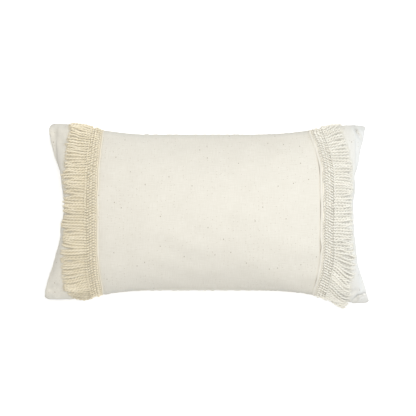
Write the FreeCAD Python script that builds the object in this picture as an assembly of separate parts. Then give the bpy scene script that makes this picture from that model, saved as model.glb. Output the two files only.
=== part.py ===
"""Lumbar throw pillow with a braided, fringed trim along each short side, in millimetres.

The pillow lies on its back panel: X runs along its length, Y across it and +Z up through the front panel.
The origin is on the ground, in the middle of the pillow. Cover, trims, zipper, insert and filling are
separate solids, a real clearance apart.
"""

import FreeCAD
import Part
import math
import os

Vector = FreeCAD.Vector

# Plan shape of the sewn cover. Its sides are pulled in between the corners by the filling.
CORNER_X = 296.0  # half the length, corner to corner
CORNER_Y = 163.0  # half the width, corner to corner
PINCH_X = 31.0  # how far the middle of each short side is pulled in
PINCH_Y = 22.0  # how far the middle of each long side is pulled in
FLARE_BACK = (0.42, 0.97)  # where the +Y side leaves its straight middle, as shares of the half length
FLARE_ZIP = (0.48, 0.84)  # the same on the -Y side, which the zipper keeps straight

# Crown of the two halves, measured from the seam plane.
SEAM_Z = 70.0
FRONT_CROWN = 80.0
BACK_CROWN = 78.0  # flattened by the ground where it would go below z = 0
# Each profile falls from 1 in the middle by share * t^slow + (1 - share) * t^fast, t being 1 at the seam.
END_WALL = (0.45, 2.5, 10)  # share, slow and fast along X, where the short sides rise steeply
SIDE_WALL = (0.8, 2.0, 6)  # the same across the pillow
SEAM_GAP = 0.3  # between a front piece and the back piece that it is sewn to

# Layers, each given as (inset of the outline, thickness at the seam, depth below the cover's crown).
COVER_OUT = (0.0, 2.5, 0.0)
COVER_IN = (1.3, 1.5, 1.0)
TICKING_OUT = (12.0, 1.5, 1.6)
TICKING_IN = (13.0, 0.8, 2.5)
FILLING = (13.8, 0.5, 3.1)
ALLOWANCE = (0.65, 10.65)  # outline insets of the seam allowance's outer and inner edges
ALLOWANCE_THICK = 1.0
THREAD = 0.8  # side of a seam thread's section

# Trim: a woven tape with braided rows, sewn down by two rows of stitches, and a cord fringe.
TRIM_X_MID = {-1: 196.0, 1: 205.0}  # inner edge of the left and right tape halfway across the pillow
TRIM_X_CURL = {-1: 8.0, 1: 17.0}  # how much nearer the middle that edge is at the long seams
TRIM_END = 0.985  # share of the half width where the trim stops
TAPE_WIDTH = 25.0
TAPE_LIFT = (0.4, 1.2)  # lower and upper face of the tape, above the front panel
BRAID_ROWS = ((9.4, 4.6), (14.4, 4.6), (19.4, 4.6), (23.2, 2.4))  # middle from the tape's inner edge, and width
BRAID_LIFT = (1.6, 2.0, 1.5)  # underside above the panel, then height at a row's edge less crown
STITCH_ROWS = (1.6, 5.8)
STITCH_PITCH = 5.4
STITCH_LENGTH = 3.6
STITCH_RADIUS = 0.35
STITCH_LIFT = 1.9
CORD_COUNT = 68
CORD_RADIUS = 1.8
CORD_LENGTH = 41.0
CORD_START = 25.6  # from the tape's inner edge, so that a cord starts clear of the tape
CORD_LIFT = 2.6  # centreline above the front panel
CORD_FLANK = 60  # degrees from a cord's top to where its flank goes straight down

# Zipper in the straight middle of the -Y seam. Its chain faces -Y.
SLOT_HALF_LENGTH = 136.0
SLOT_HALF_HEIGHT = 3.7
ZIP_FACE_Y = -(CORNER_Y - PINCH_Y)  # the cover's outline along the zipper
COIL_X = (-120.0, 130.0)  # the bottom stop's end of the coils, then the top stops' end
COIL_Y = (2.0, 3.8)  # outer and inner face of the coils, inside the cover's outline
COIL_Z = (0.7, 2.2)  # a coil's inner and outer side, from the seam plane
TAPE_Y = (4.1, 4.7)  # outer and inner face of the zipper tapes
TAPE_Z = 0.9  # inner edge of a zipper tape, from the seam plane
TAPE_HALF_LENGTH = 142.0
TAPE_RISE = 13.5  # height of a tape's sewn edge above the seam plane
TAPE_CLEAR = 0.5
HEM_STITCH_HEIGHT = 8.5  # of the row that sews a tape down, above the seam plane
STOP_LENGTH = 2.0
STOP_GAP = 0.4

# Slider and pull, with the slider at the closed end.
SLIDER_X = 122.0
SLIDER_HALF_LENGTH = 4.2
SLIDER_HALF_WIDTH = 3.2
SLIDER_CORNER = 1.4
OUTER_PLATE_Y = (0.5, 1.7)
INNER_PLATE_Y = (5.0, 6.0)
FLANGE_THICK = 0.7
POST = (1.4, 3.6, 0.4)  # from and to along the slider, and half its thickness
BAIL_HALF_LENGTH = 3.0
BAIL_HALF_WIDTH = 0.75
BAIL_THICK = 0.9
BAIL_ROOM = 1.7  # height of the space under the bail
PULL_PIN_RADIUS = 0.55
PULL_PIN_HEIGHT = 0.85  # of the pin's axis above the outer plate
PULL_THICK = 1.2
PULL_ARM = (1.1, 2.1)  # inner and outer side of each arm
PULL_NECK = 5.2  # from the pin's axis to the solid part of the tab
PULL_LENGTH = 20.0
PULL_TIP_RADIUS = 2.7
PULL_HOLE_RADIUS = 1.0

# How finely the soft shapes are sampled.
ALONG = 41
ACROSS = 25
END_GRADE = 1.5  # how much closer together the samples are near the short sides
SIDE_GRADE = 1.2
STRIP_ROWS = 25
GROUND = Part.makeBox(800, 500, 100, Vector(-400, -250, -100))


def spread(low, high, count):
    """count evenly spaced numbers from low to high."""
    return [low + (high - low) * i / (count - 1) for i in range(count)]


def graded(count, power):
    """count numbers from -1 to 1, closer together towards both ends."""
    return [math.copysign(1.0 - (1.0 - abs(t)) ** power, t) for t in spread(-1, 1, count)]


def ease(t):
    """A smooth step from 0 to 1 as t goes from 0 to 1."""
    t = min(1.0, max(0.0, t))
    return t * t * (3.0 - 2.0 * t)


def long_side(u, flare, inset):
    """Half width of the cover at a share u of its half length."""
    start, end = flare
    return CORNER_Y - inset - PINCH_Y * (1.0 - ease((abs(u) - start) / (end - start)))


def plan(u, v, inset=0.0):
    """The point of the outline grid at (u, v), each from -1 to 1."""
    x = u * (CORNER_X - inset - PINCH_X * (1.0 - v * v))
    top = long_side(u, FLARE_BACK, inset)
    bottom = -long_side(u, FLARE_ZIP, inset)
    return x, (top + bottom) / 2 + v * (top - bottom) / 2


def fullness(u, v):
    """How far the filling lifts the fabric: 1 in the middle and 0 along the seams."""
    height = 1.0
    for t, (share, slow, fast) in ((abs(u), END_WALL), (abs(v), SIDE_WALL)):
        height *= 1.0 - share * t**slow - (1.0 - share) * t**fast
    return height


def skin(u, v, side, layer):
    """A point of the layer's surface on the front (side 1) or back (side -1)."""
    inset, rim, depth = layer
    crown = (FRONT_CROWN if side > 0 else BACK_CROWN) - depth
    x, y = plan(u, v, inset)
    return Vector(x, y, SEAM_Z + side * (SEAM_GAP / 2 + rim + (crown - rim) * fullness(u, v)))


def normal(u, v):
    """The front panel's outward direction at (u, v)."""
    step = 1e-4
    along = skin(u + step, v, 1, COVER_OUT) - skin(u - step, v, 1, COVER_OUT)
    across = skin(u, v + step, 1, COVER_OUT) - skin(u, v - step, 1, COVER_OUT)
    out = along.cross(across)
    out.normalize()
    return out


def slab(upper, lower):
    """The solid between two grids of points of the same size."""
    surfaces = []
    for grid in (upper, lower):
        surface = Part.BSplineSurface()
        surface.interpolate(grid)
        surfaces.append(surface)
    faces = [s.toShape() for s in surfaces]
    rims = []
    for s in surfaces:
        u0, u1, v0, v1 = s.bounds()
        rims.append([c.toShape() for c in (s.uIso(u0), s.uIso(u1), s.vIso(v0), s.vIso(v1))])
    faces += [Part.makeRuledSurface(a, b) for a, b in zip(*rims)]
    shell = Part.makeShell([f for shape in faces for f in shape.Faces])
    shell.sewShape()
    solid = Part.Solid(shell if shell.ShapeType == "Shell" else shell.Shells[0])
    if solid.Volume < 0:
        solid.reverse()
    return solid


def half(side, layer, base):
    """One half of a layer as a full solid, down to base above the seam plane."""
    upper = []
    lower = []
    for u in graded(ALONG, END_GRADE):
        upper.append([skin(u, v, side, layer) for v in graded(ACROSS, SIDE_GRADE)])
        lower.append([Vector(p.x, p.y, SEAM_Z + side * base) for p in upper[-1]])
    solid = slab(upper, lower)
    return solid.cut(ground_under(layer)) if side < 0 else solid


def ground_under(layer):
    """The ground's block, raised to the depth at which it flattens this layer."""
    block = GROUND.copy()
    block.translate(Vector(0, 0, layer[2]))
    return block


def flat_ring(side, insets, base, thick):
    """A flat band that follows the outline, between two insets."""
    outer, inner = (
        slab(*[
            [[Vector(*plan(u, v, inset), z) for v in spread(-1, 1, ACROSS)] for u in spread(-1, 1, ALONG)]
            for z in levels
        ])
        for inset, levels in (
            (insets[0], (SEAM_Z + side * (base + thick), SEAM_Z + side * base)),
            (insets[1], (SEAM_Z + side * (base + 2 * thick), SEAM_Z + side * (base - thick))),
        )
    )
    return outer.cut(inner)


def box(x, y, z):
    """A box from (low, high) pairs along X, Y and Z."""
    size = [high - low for low, high in (x, y, z)]
    return Part.makeBox(*size, Vector(x[0], y[0], z[0]))


def around(half_size):
    return (-half_size, half_size)


def cover_panel(side):
    """A sewn cover panel with its seam allowance, open along the zipper."""
    base = SEAM_GAP / 2
    panel = half(side, COVER_OUT, base).cut(half(side, COVER_IN, base - 1.0))
    allowance = flat_ring(side, ALLOWANCE, base, ALLOWANCE_THICK)
    zipper_bay = box(
        around(TAPE_HALF_LENGTH + 2),
        (ZIP_FACE_Y - 5, ZIP_FACE_Y + ALLOWANCE[1] + 2),
        (SEAM_Z - 3, SEAM_Z + 3),
    )
    slot = box(
        around(SLOT_HALF_LENGTH),
        (ZIP_FACE_Y - 5, ZIP_FACE_Y + ALLOWANCE[1]),
        (SEAM_Z - SLOT_HALF_HEIGHT, SEAM_Z + SLOT_HALF_HEIGHT),
    )
    return panel.fuse(allowance.cut(zipper_bay)).cut(slot)


def ticking_panel(side):
    """One half of the insert's thin shell."""
    base = SEAM_GAP / 2
    return half(side, TICKING_OUT, base).cut(half(side, TICKING_IN, base - 1.0))


def filling():
    """The fibre filling, one soft block inside the insert's shell."""
    grids = [
        [[skin(u, v, side, FILLING) for v in graded(ACROSS, SIDE_GRADE)] for u in graded(ALONG, END_GRADE)]
        for side in (1, -1)
    ]
    return slab(*grids).cut(ground_under(FILLING))


def seam_strip(fixed, value, low, high, inset):
    """A thread that follows one side of an outline: fixed names the coordinate that stays at value."""
    path = []
    for t in spread(low, high, ALONG):
        near = plan(value, t, inset) if fixed == "u" else plan(t, value, inset)
        far = plan(value, t, inset + THREAD) if fixed == "u" else plan(t, value, inset + THREAD)
        path.append((near, far))
    grids = [
        [[Vector(*p, SEAM_Z + z) for p in pair] for pair in path] for z in (THREAD / 2, -THREAD / 2)
    ]
    return slab(*grids)


def seam_thread(inset, gap_u=0.0):
    """The thread round an outline, left open for gap_u each side of the middle of the -Y side."""
    end = 0.97
    strips = [
        seam_strip("u", -1, -end, end, inset),
        seam_strip("u", 1, -end, end, inset),
        seam_strip("v", 1, -end, end, inset),
    ]
    if gap_u:
        strips.append(seam_strip("v", -1, -end, -gap_u, inset))
        strips.append(seam_strip("v", -1, gap_u, end, inset))
    else:
        strips.append(seam_strip("v", -1, -end, end, inset))
    return strips


def trim_walk(side, v):
    """Pairs (distance along the panel from the trim's inner edge, u), from that edge to the side seam."""
    x_edge = CORNER_X - PINCH_X * (1.0 - v * v)
    start = (TRIM_X_MID[side] - TRIM_X_CURL[side] * v**4) / x_edge
    walk = [(0.0, side * start)]
    last = skin(side * start, v, 1, COVER_OUT)
    for share in spread(0.0, 1.0, 240)[1:]:
        u = start + (1.0 - start) * (1.0 - (1.0 - share) ** END_GRADE)
        point = skin(side * u, v, 1, COVER_OUT)
        walk.append((walk[-1][0] + (point - last).Length, side * u))
        last = point
    return walk


def trim_point(walk, v, distance, lift):
    """A point above the front panel, at a distance from the trim's inner edge."""
    for (s0, u0), (s1, u1) in zip(walk, walk[1:]):
        if s1 >= distance:
            break
    u = u0 + (u1 - u0) * (distance - s0) / (s1 - s0)
    return skin(u, v, 1, COVER_OUT) + normal(u, v) * lift


def trim_strip(side, low, high, lower_lift, upper_lift, columns):
    """A band along the trim: upper_lift gives its height from a share -1 to 1 across it."""
    upper = []
    lower = []
    for v in spread(-TRIM_END, TRIM_END, STRIP_ROWS):
        walk = trim_walk(side, v)
        shares = spread(-1, 1, columns)
        at = [(low + high) / 2 + (high - low) / 2 * t for t in shares]
        upper.append([trim_point(walk, v, s, upper_lift(t)) for s, t in zip(at, shares)])
        lower.append([trim_point(walk, v, s, lower_lift) for s in at])
    return slab(upper, lower)


def trim_tape(side):
    return trim_strip(side, 0.0, TAPE_WIDTH, TAPE_LIFT[0], lambda t: TAPE_LIFT[1], 5)


def trim_braid(side):
    """The braided rows that stand on the tape."""
    under, edge, crown = BRAID_LIFT
    return [
        trim_strip(side, s - w / 2, s + w / 2, under, lambda t: edge + crown * (1 - t * t), 7)
        for s, w in BRAID_ROWS
    ]


def rod(a, b, radius):
    """A round bar from a to b."""
    return Part.makeCylinder(radius, (b - a).Length, a, b - a)


def even_rows(side, distance, lift, pitch):
    """Points along the trim at one distance from its inner edge, pitch apart."""
    fine = [
        trim_point(trim_walk(side, v), v, distance, lift)
        for v in spread(-TRIM_END, TRIM_END, 181)
    ]
    points = [fine[0]]
    left = pitch
    for a, b in zip(fine, fine[1:]):
        length = (b - a).Length
        while left <= length:
            points.append(a + (b - a) * (left / length))
            left += pitch
        left -= length
    return points


def stitches(points, pitch):
    """One short bar of thread from each point towards the next."""
    share = STITCH_LENGTH / pitch
    return [rod(a, a + (b - a) * share, STITCH_RADIUS) for a, b in zip(points, points[1:])]


def trim_stitches(side):
    """The two rows of stitches that hold a trim's tape to the front panel."""
    made = []
    for distance in STITCH_ROWS:
        made += stitches(even_rows(side, distance, STITCH_LIFT, STITCH_PITCH), STITCH_PITCH)
    return made


def fringe(side):
    """The fringe cords, which lie along the front panel and down towards the side seam."""
    angles = [math.radians(a) for a in spread(-CORD_FLANK, CORD_FLANK, 5)]
    cords = []
    for v in spread(-TRIM_END, TRIM_END, CORD_COUNT):
        walk = trim_walk(side, v)
        stops = spread(CORD_START, CORD_START + CORD_LENGTH, 9)
        line = [trim_point(walk, v, s, CORD_LIFT) for s in stops]
        foot = [trim_point(walk, v, s, 0.0) for s in stops]
        upper = []
        lower = []
        for i, middle in enumerate(line):
            out = (middle - foot[i]).normalize()
            ahead = line[min(i + 1, len(line) - 1)] - line[max(i - 1, 0)]
            across = ahead.cross(out).normalize()
            upper.append([middle + (across * math.sin(a) + out * math.cos(a)) * CORD_RADIUS for a in angles])
            lower.append([middle + (across * math.sin(a) - out * math.cos(a)) * CORD_RADIUS for a in angles])
        cords.append(slab(upper, lower))
    return cords


def cover_inner_y(height):
    """Where the cover's inner face is at a height above the seam plane, at the end of the zipper."""
    u = TAPE_HALF_LENGTH / CORNER_X
    low, high = -1.0, -0.5
    for _ in range(50):
        v = (low + high) / 2
        if skin(u, v, 1, COVER_IN).z - SEAM_Z < height:
            low = v
        else:
            high = v
    return plan(u, low, COVER_IN[0])[1]


def zipper_tape(side):
    """A zipper tape: flat beside the coil, then folded back along the inside of its panel."""
    outer, inner = (ZIP_FACE_Y + y for y in TAPE_Y)
    thick = inner - outer
    run = cover_inner_y(TAPE_RISE) - cover_inner_y(SLOT_HALF_HEIGHT)
    rise = TAPE_RISE - SLOT_HALF_HEIGHT
    slope = math.atan2(rise, run)
    shift = TAPE_CLEAR / math.sin(slope)
    fold = SLOT_HALF_HEIGHT + (outer - shift - cover_inner_y(SLOT_HALF_HEIGHT)) * rise / run
    edge_y = outer + (TAPE_RISE - fold) * run / rise
    inner_fold = fold - thick * math.tan((math.pi / 2 - slope) / 2)
    across = (thick * math.sin(slope), -thick * math.cos(slope))
    profile = [
        (outer, TAPE_Z),
        (outer, fold),
        (edge_y, TAPE_RISE),
        (edge_y + across[0], TAPE_RISE + across[1]),
        (inner, inner_fold),
        (inner, TAPE_Z),
    ]
    points = [Vector(-TAPE_HALF_LENGTH, y, SEAM_Z + side * z) for y, z in profile]
    face = Part.Face(Part.makePolygon(points + points[:1]))
    return face.extrude(Vector(2 * TAPE_HALF_LENGTH, 0, 0))


def sided(side, pair):
    """A (low, high) pair of distances from the seam plane as heights on one side of it."""
    return tuple(sorted(SEAM_Z + side * d for d in pair))


def zipper_coil(side):
    """The outer shape of one row of coil."""
    y = tuple(ZIP_FACE_Y + d for d in COIL_Y)
    return box(COIL_X, y, sided(side, COIL_Z))


def zipper_stops(end):
    """The stops past one end of the coils: a clip on each tape, or one across both."""
    y = (ZIP_FACE_Y + COIL_Y[0] - 0.1, ZIP_FACE_Y + COIL_Y[1])
    reach = COIL_Z[1] + 0.2
    if end > 0:
        x = (COIL_X[1] + STOP_GAP, COIL_X[1] + STOP_GAP + STOP_LENGTH)
        return [box(x, y, sided(side, (COIL_Z[0], reach))) for side in (1, -1)]
    x = (COIL_X[0] - STOP_GAP - STOP_LENGTH, COIL_X[0] - STOP_GAP)
    return [box(x, y, (SEAM_Z - reach, SEAM_Z + reach))]


def hem_stitches(side):
    """The row of stitches on the cover's outside that holds one zipper tape."""
    points = []
    count = int(2 * (SLOT_HALF_LENGTH - 2) / STITCH_PITCH)
    for x in spread(-SLOT_HALF_LENGTH + 2, SLOT_HALF_LENGTH - 2, count):
        low, high = -1.0, -0.5
        for _ in range(40):
            v = (low + high) / 2
            u = x / (CORNER_X - PINCH_X * (1.0 - v * v))
            point = skin(u, v, side, COVER_OUT)
            low, high = (v, high) if abs(point.z - SEAM_Z) < HEM_STITCH_HEIGHT else (low, v)
        out = normal(u, v)
        points.append(point + Vector(out.x, out.y, side * out.z) * (STITCH_RADIUS + 0.35))
    pitch = (points[1] - points[0]).Length
    return stitches(points, pitch)


def rounded_plate(half_length, half_width, corner, y):
    """A plate in the XZ plane about the slider's middle, with round corners."""
    x0, x1 = SLIDER_X - half_length, SLIDER_X + half_length
    z0, z1 = SEAM_Z - half_width, SEAM_Z + half_width
    plate = box((x0, x1), y, (z0, z1))
    upright = [e for e in plate.Edges if abs(e.tangentAt(e.FirstParameter).y) > 0.9]
    return plate.makeFillet(corner, upright)


def slider():
    """The slider: two plates joined by a post between the coils, with flanges and a bail for the pull."""
    outer_y = tuple(ZIP_FACE_Y + d for d in OUTER_PLATE_Y)
    inner_y = tuple(ZIP_FACE_Y + d for d in INNER_PLATE_Y)
    body = rounded_plate(SLIDER_HALF_LENGTH, SLIDER_HALF_WIDTH, SLIDER_CORNER, outer_y)
    body = body.fuse(rounded_plate(SLIDER_HALF_LENGTH, SLIDER_HALF_WIDTH, SLIDER_CORNER, inner_y))
    start, end, thick = POST
    middle = (SEAM_Z - thick, SEAM_Z + thick)
    body = body.fuse(box((SLIDER_X + start, SLIDER_X + end), (outer_y[0], inner_y[1]), middle))
    straight = SLIDER_HALF_LENGTH - SLIDER_CORNER
    flange_y = (outer_y[0] + 0.2, ZIP_FACE_Y + TAPE_Y[0] - 0.35)
    for side in (1, -1):
        z = sided(side, (SLIDER_HALF_WIDTH - FLANGE_THICK, SLIDER_HALF_WIDTH))
        body = body.fuse(box((SLIDER_X - straight, SLIDER_X + straight), flange_y, z))
    z = (SEAM_Z - BAIL_HALF_WIDTH, SEAM_Z + BAIL_HALF_WIDTH)
    top = outer_y[0] - BAIL_ROOM - BAIL_THICK
    bail = box((SLIDER_X - BAIL_HALF_LENGTH, SLIDER_X + BAIL_HALF_LENGTH), (top, outer_y[0] + 0.1), z)
    rounded = [
        e for e in bail.Edges if abs(e.tangentAt(e.FirstParameter).z) > 0.9 and e.CenterOfMass.y < top + 0.1
    ]
    bail = bail.makeFillet(BAIL_THICK, rounded)
    room = BAIL_HALF_LENGTH - BAIL_THICK
    window = box((SLIDER_X - room, SLIDER_X + room), (outer_y[0] - BAIL_ROOM, outer_y[0]), z)
    return body.fuse(bail.cut(window)).removeSplitter()


def pull_tab():
    """The pull: a pin under the bail, two arms and a round-ended tab that lies along the chain."""
    pin_y = ZIP_FACE_Y + OUTER_PLATE_Y[0] - PULL_PIN_HEIGHT
    y = (pin_y - PULL_THICK / 2, pin_y + PULL_THICK / 2)
    tip = SLIDER_X - PULL_LENGTH + PULL_TIP_RADIUS
    neck = SLIDER_X - PULL_NECK
    arm_in, arm_out = PULL_ARM
    outline = [
        Part.LineSegment(Vector(SLIDER_X, 0, -arm_out), Vector(SLIDER_X, 0, arm_out)),
        Part.LineSegment(Vector(SLIDER_X, 0, arm_out), Vector(tip, 0, PULL_TIP_RADIUS)),
        Part.Arc(
            Vector(tip, 0, PULL_TIP_RADIUS),
            Vector(tip - PULL_TIP_RADIUS, 0, 0),
            Vector(tip, 0, -PULL_TIP_RADIUS),
        ),
        Part.LineSegment(Vector(tip, 0, -PULL_TIP_RADIUS), Vector(SLIDER_X, 0, -arm_out)),
    ]
    face = Part.Face(Part.Wire([edge.toShape() for edge in outline]))
    tab = face.extrude(Vector(0, PULL_THICK, 0))
    tab.translate(Vector(0, y[0], SEAM_Z))
    window = box((neck, SLIDER_X + 1), y, (SEAM_Z - arm_in, SEAM_Z + arm_in))
    hole_at = Vector(tip, y[0], SEAM_Z)
    hole = Part.makeCylinder(PULL_HOLE_RADIUS, PULL_THICK, hole_at, Vector(0, 1, 0))
    tab = tab.cut(window).cut(hole)
    for side in (1, -1):
        low, high = sided(side, PULL_ARM)
        end = Vector(SLIDER_X, pin_y, low)
        tab = tab.fuse(Part.makeCylinder(PULL_THICK / 2, high - low, end, Vector(0, 0, 1)))
    pin_at = Vector(SLIDER_X, pin_y, SEAM_Z - arm_out)
    pin = Part.makeCylinder(PULL_PIN_RADIUS, 2 * arm_out, pin_at, Vector(0, 0, 1))
    return tab.fuse(pin).removeSplitter()


def parts():
    """Each node's name with its solid or list of solids."""
    zip_gap = (TAPE_HALF_LENGTH + 2) / CORNER_X
    return {
        "front_panel": cover_panel(1),
        "back_panel": cover_panel(-1),
        "cover_seam_thread": seam_thread(2.6, zip_gap),
        "left_trim_tape": trim_tape(-1),
        "right_trim_tape": trim_tape(1),
        "left_trim_braid": trim_braid(-1),
        "right_trim_braid": trim_braid(1),
        "left_fringe_cords": fringe(-1),
        "right_fringe_cords": fringe(1),
        "left_trim_stitches": trim_stitches(-1),
        "right_trim_stitches": trim_stitches(1),
        "insert_front_panel": ticking_panel(1),
        "insert_back_panel": ticking_panel(-1),
        "insert_seam_thread": seam_thread(TICKING_OUT[0]),
        "fibre_filling": filling(),
        "zipper_tape_front": zipper_tape(1),
        "zipper_tape_back": zipper_tape(-1),
        "zipper_coil_front": zipper_coil(1),
        "zipper_coil_back": zipper_coil(-1),
        "zipper_top_stops": zipper_stops(1),
        "zipper_bottom_stop": zipper_stops(-1),
        "zipper_stitches_front": hem_stitches(1),
        "zipper_stitches_back": hem_stitches(-1),
        "zipper_slider": slider(),
        "zipper_pull_tab": pull_tab(),
    }


def main():
    os.makedirs("parts", exist_ok=True)
    for name, made in parts().items():
        solids = [s for shape in (made if isinstance(made, list) else [made]) for s in shape.Solids]
        shape = solids[0] if len(solids) == 1 else Part.makeCompound(solids)
        shape.exportStep(f"parts/{name}.step")
        size = shape.BoundBox
        print(
            f"{name}: {len(solids)} solids, valid {shape.isValid()}, {shape.Volume / 1000:.2f} cm3,"
            f" {size.XLength:.1f} x {size.YLength:.1f} x {size.ZLength:.1f} mm"
        )


main()
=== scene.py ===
"""Looks of a lumbar pillow with fringed side trims: filled cloth cover, cotton trims, zipper and studio.

Metres, in the CAD model's frame. A point of a cover panel is named by u along the pillow and v across it,
each from -1 to 1 between the seams.
"""

import math

import bpy
import numpy as np
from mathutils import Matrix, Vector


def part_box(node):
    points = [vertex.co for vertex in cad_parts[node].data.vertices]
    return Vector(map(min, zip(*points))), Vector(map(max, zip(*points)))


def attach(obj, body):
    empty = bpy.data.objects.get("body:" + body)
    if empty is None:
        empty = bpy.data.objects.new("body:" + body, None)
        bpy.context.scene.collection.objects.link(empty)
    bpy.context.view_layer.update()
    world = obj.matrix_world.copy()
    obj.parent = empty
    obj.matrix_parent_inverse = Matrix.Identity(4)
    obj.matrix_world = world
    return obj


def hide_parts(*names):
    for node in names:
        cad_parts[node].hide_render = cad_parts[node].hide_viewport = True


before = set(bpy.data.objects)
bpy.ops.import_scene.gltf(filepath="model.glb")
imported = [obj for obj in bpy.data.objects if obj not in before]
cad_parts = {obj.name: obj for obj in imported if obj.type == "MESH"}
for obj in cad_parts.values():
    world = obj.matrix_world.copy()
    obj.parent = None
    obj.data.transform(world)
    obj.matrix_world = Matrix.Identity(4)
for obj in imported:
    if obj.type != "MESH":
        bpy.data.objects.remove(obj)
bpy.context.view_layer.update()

MM = 0.001

# The cover, as it is cut and as it is filled.
FLAT_X = 305 * MM  # half the length it is cut to
FLAT_Y = 170 * MM  # half the width
SEAM_Z = 70 * MM  # height of the seams over the floor
CLOTH_THICK = 0.8 * MM
SEAM_INSET = 1.2 * MM  # how far the seam sits inside the rolled edges of the panels
SEAM_ROLL = 2.6 * MM  # distance from the seam to the top of the roll
ROLL_HIGH = 1.0 * MM
ALLOWANCE = (1.5 * MM, 5 * MM, 10 * MM)  # how far in from the seam the turned-in cloth has its points
CORNER_ROUND = 14 * MM
CORNER_BUNCH = 15 * MM  # size of the bunched cloth where two seams meet
SAMPLE_X = 2.4 * MM  # spacing of the panels' points in the middle
SAMPLE_Y = 2.1 * MM
SAMPLE_SEAM = 1.1 * MM  # and beside the seams
WAVES = 24  # in each field of smooth noise

# Plan of the filled cover. The ends are measured from the middle along the pillow, the sides across it.
LEFT_END = {
    "corner_low": 304 * MM, "corner_high": 293 * MM, "middle": 254.5 * MM, "deepest": 0.2,
    "power_low": 1.9, "power_high": 1.8, "soft_high": 0.9,
}
RIGHT_END = {
    "corner_low": 306 * MM, "corner_high": 302 * MM, "middle": 262.5 * MM, "deepest": 0.2,
    "power_low": 3.5, "power_high": 2.4, "soft_high": 0.0,
}
TOP_SIDE = {
    "middle": 142 * MM, "corner_left": 163 * MM, "corner_right": 160.5 * MM,
    "flare_left": (0.42, 0.95), "flare_right": (0.38, 0.92),
}
LOW_SIDE = {
    "middle": 145.5 * MM, "corner_left": 163 * MM, "corner_right": 170 * MM,
    "flare_left": (0.42, 0.86), "flare_right": (0.45, 0.95),
}

# The simulated grid of a panel: its first points along and across, and the height that it starts from.
COARSE_GRID = (39, 23)
START_HIGH = 60 * MM

# The folded-over tip of the upper right corner hangs down past a line across the corner.
FOLD_AT = (277 * MM, 144 * MM)
FOLD_ACROSS = (0.85, 0.53)
FOLD_SLOPE = 0.48
FOLD_SOFT = 2 * MM  # how gradually the cloth bends over the line
FOLD_BEFORE = 12 * MM  # nothing hangs this far before the line
FOLD_DEEPEST = 18 * MM

# Creases of the front near its corners: start, end, width and depth, in millimetres.
CREASES = (
    ((268, -172), (280, -153), 3.0, 11.0),
    ((278, -157), (294, -151), 2.6, 8.0),
    ((270, 160), (286, 130), 3.0, 9.0),
    ((262, -152), (277, -142), 4.0, 2.5),
    ((-288, 150), (-258, 120), 8.0, 5.0),
    ((-291, -146), (-270, -134), 5.0, 3.0),
    ((-276, -158), (-258, -140), 4.0, 2.5),
)

# Zipper opening in the -Y seam.
SLOT_HALF = 136 * MM  # half the length of the sewn-in chain
SLOT_LIFT = 3.4 * MM  # half the height of the opening
SLOT_ENDS = (-140 * MM, 150 * MM)  # it opens further where the pull tab swings past the chain
SLOT_FADE = 8 * MM
SLOT_DEEP = 5 * MM
ZIP_STITCH_IN = 9 * MM

# The trims, by distance from their inner edge along the panel. The left one is -1 and the right one 1.
TRIM_EDGE = {-1: 0.642, 1: 0.673}  # share of the half length where a trim starts
TRIM_CURL = {-1: (0.020, 0.0), 1: (0.032, 0.047)}  # how much nearer the middle at the lower and upper seam
CURL_FROM = 0.45  # share of the half width where it starts to curl
TRIM_END = 0.985
TRIM_HALF = TRIM_END * FLAT_Y
GROOVE_DEPTH = {-1: 0.6 * MM, 1: 4.2 * MM}  # pressed into the cover beside a trim's sewn inner edge
GROOVE_WIDTH = 0.9 * MM
GROOVE_BEFORE = 0.7 * MM
HOLLOW_DEPTH = 0.5 * MM  # of the wider hollow around the groove
HOLLOW_WIDTH = 5 * MM
DENSE_SPAN = (0.612, 0.684)  # share of the half length with more points, for the grooves
DENSE_COUNT = 44
TAPE_WIDTH = 25 * MM
TAPE_LOW = 0.3 * MM
TAPE_HIGH = 1.25 * MM
TAPE_LIFT = {-1: 0.3 * MM, 1: 1.6 * MM}  # gap under the inner edge
RIB_PITCH = 2.6 * MM
TAPE_GROOVE = 3.1 * MM  # where the inner row of stitches pulls the tape down
TAPE_STITCHES = ((TAPE_GROOVE, TAPE_HIGH - 0.5 * MM), (6.8 * MM, TAPE_HIGH + 0.1 * MM))  # place and height
BRAID_ROWS = (8.6 * MM, 13.7 * MM, 18.8 * MM)
LOOP_WIDE = 1.5 * MM
LOOP_SLANT = 0.3 * MM
LOOP_HIGH = 1.1 * MM
LOOP_RADIUS = 1.25 * MM
BINDING_ROW = 22.7 * MM
BINDING_SIZE = (0.95 * MM, 0.0, 1.0 * MM, 0.7 * MM)  # half width, slant, half height and radius
LOW_ROW = 5.0 * MM
LOW_SIZE = (1.0 * MM, 0.3 * MM, 0.6 * MM, 0.75 * MM)
CORD_COUNT = 68
CORD_PITCH = 2 * TRIM_HALF / (CORD_COUNT - 1)
CORD_START = 21 * MM
CORD_END = {-1: 63.5 * MM, 1: 59 * MM}
CORD_POINTS = 44
PLY_RADIUS = 1.35 * MM
PLY_OFFSET = 1.15 * MM
PLY_PITCH = 13 * MM
STRAY_RADIUS = 1.0 * MM
STRAY_POINTS = {-1: 42, 1: 39}
# raised of the stray yarn sunk between the cords; its low value paints shade on it.
STRAY_RAISED = {-1: 0.32, 1: 0.18}
FRAYED_FIBRES = {-1: 13, 1: 9}  # at each cord's end
TUFTS = ((0.40, 0.035), (0.03, 0.02), (-0.13, 0.05))  # place and width of the left fringe's longer tufts

# Everything inside the cover is a smaller copy of it.
INSERT_INSET = 12 * MM
INSERT_DEPTH = 3.5 * MM
TICKING_THICK = 0.5 * MM
FILLING_INSET = 13.5 * MM
FILLING_DEPTH = 5 * MM
INNER_GAP = 0.3 * MM  # half the gap between its two sides at the seam
NARROW_X = 265 * MM  # the sizes that an inset and a depth are measured against
NARROW_Y = 141 * MM
PANEL_HIGH = 80 * MM
COARSER = 3  # it has every third point of a panel


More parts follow.
